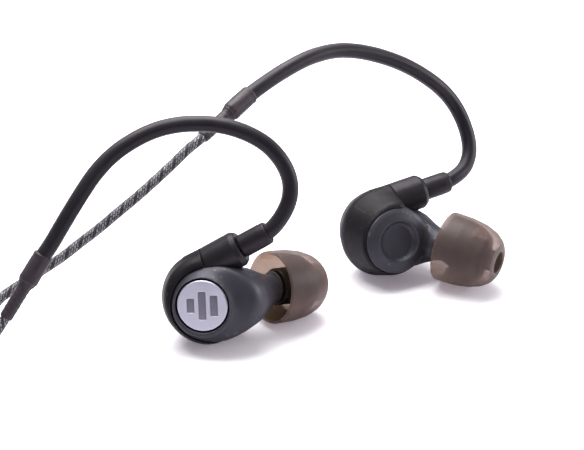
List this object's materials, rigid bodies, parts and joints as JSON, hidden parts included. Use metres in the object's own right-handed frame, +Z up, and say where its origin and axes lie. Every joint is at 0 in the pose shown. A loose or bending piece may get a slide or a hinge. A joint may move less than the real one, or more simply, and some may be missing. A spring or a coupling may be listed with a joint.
{
  "type": "in-ear monitors",
  "caption": "In-ear monitors with round dark housings, silver faceplates, silicone tips, over-ear guides and a detachable braided cable with slider, splitter and headphone plug.",
  "frame": {"origin": "centre of the cable splitter's flat underside, which rests on the table", "axes": "+Z up from the table; +X and +Y lie in the table plane, with the earpieces towards +X and the faceplate of the right earpiece facing -Y"},
  "size_m": [0.1527, 0.0868, 0.0428],
  "materials": {
    "gunmetal": "satin",
    "black_shell": "matte",
    "silver_face": "satin",
    "gold": "polished",
    "steel": "brushed",
    "guide_tube": "satin",
    "heat_shrink": "satin",
    "braid": "woven",
    "silicone": "satin",
    "film": "gloss",
    "soft_black": "matte"
  },
  "bodies": {
    "cable_set": {"splitter_body": "black_shell", "main_cable": "braid", "plug_strain_relief": "soft_black", "plug_body": "black_shell", "plug_contact_tip": "gold", "plug_contact_ring": "gold", "plug_contact_sleeve": "gold", "plug_insulator_front": "black_shell", "plug_insulator_rear": "black_shell", "right_cable": "braid", "right_guide_boot": "heat_shrink", "right_ear_guide": "guide_tube", "right_connector_sleeve": "black_shell", "right_coax_plug": "gold", "left_cable": "braid", "left_guide_boot": "heat_shrink", "left_ear_guide": "guide_tube", "left_connector_sleeve": "black_shell", "left_coax_plug": "gold"},
    "slider": {"cable_slider": "soft_black"},
    "right_ring": {"right_snap_ring": "gold"},
    "right_earpiece": {"right_housing_ring": "gunmetal", "right_housing_base": "gunmetal", "right_wrap_cover": "black_shell", "right_faceplate_carrier": "black_shell", "right_faceplate_disc": "silver_face", "right_driver_frame": "black_shell", "right_driver_magnet": "steel", "right_nozzle_tube": "gunmetal", "right_nozzle_screen": "steel", "right_connector_barrel": "black_shell", "right_coax_socket": "gold"},
    "right_diaphragm": {"right_driver_diaphragm": "film"},
    "right_tip": {"right_eartip": "silicone"},
    "left_ring": {"left_snap_ring": "gold"},
    "left_earpiece": {"left_housing_ring": "gunmetal", "left_housing_base": "gunmetal", "left_wrap_cover": "black_shell", "left_faceplate_carrier": "black_shell", "left_faceplate_disc": "silver_face", "left_driver_frame": "black_shell", "left_driver_magnet": "steel", "left_nozzle_tube": "gunmetal", "left_nozzle_screen": "steel", "left_connector_barrel": "black_shell", "left_coax_socket": "gold"},
    "left_diaphragm": {"left_driver_diaphragm": "film"},
    "left_tip": {"left_eartip": "silicone"}
  },
  "joints": [
    {"name": "slider_travel", "type": "slide", "parent": "cable_set", "child": "slider", "axis": [0.8, 0.6, 0], "range_m": [-0.0024, 0.0098]},
    {"name": "right_swivel", "type": "hinge", "parent": "cable_set", "child": "right_ring", "pos_m": [0.07223, 0.03347, 0.0161], "axis": [0.8537, -0.0117, 0.5206], "range_deg": [-90, 90]},
    {"name": "right_unplug", "type": "slide", "parent": "right_ring", "child": "right_earpiece", "axis": [-0.8537, 0.0117, -0.5206], "range_m": [0, 0.004]},
    {"name": "right_tip_removal", "type": "slide", "parent": "right_earpiece", "child": "right_tip", "axis": [0.7815, 0.5908, -0.2004], "range_m": [0, 0.0058]},
    {"name": "right_diaphragm_stroke", "type": "slide", "parent": "right_earpiece", "child": "right_diaphragm", "axis": [-0.175, -0.9481, 0.2655], "range_m": [-0.00015, 0.00015]},
    {"name": "left_swivel", "type": "hinge", "parent": "cable_set", "child": "left_ring", "pos_m": [0.10507, 0.06197, 0.01399], "axis": [-0.8908, -0.4351, -0.1313], "range_deg": [-90, 90]},
    {"name": "left_unplug", "type": "slide", "parent": "left_ring", "child": "left_earpiece", "axis": [-0.8908, -0.4351, -0.1313], "range_m": [0, 0.004]},
    {"name": "left_tip_removal", "type": "slide", "parent": "left_earpiece", "child": "left_tip", "axis": [0.8718, -0.4832, -0.0801], "range_m": [0, 0.0058]},
    {"name": "left_diaphragm_stroke", "type": "slide", "parent": "left_earpiece", "child": "left_diaphragm", "axis": [-0.3941, 0.8834, -0.2537], "range_m": [-0.00015, 0.00015]}
  ]
}
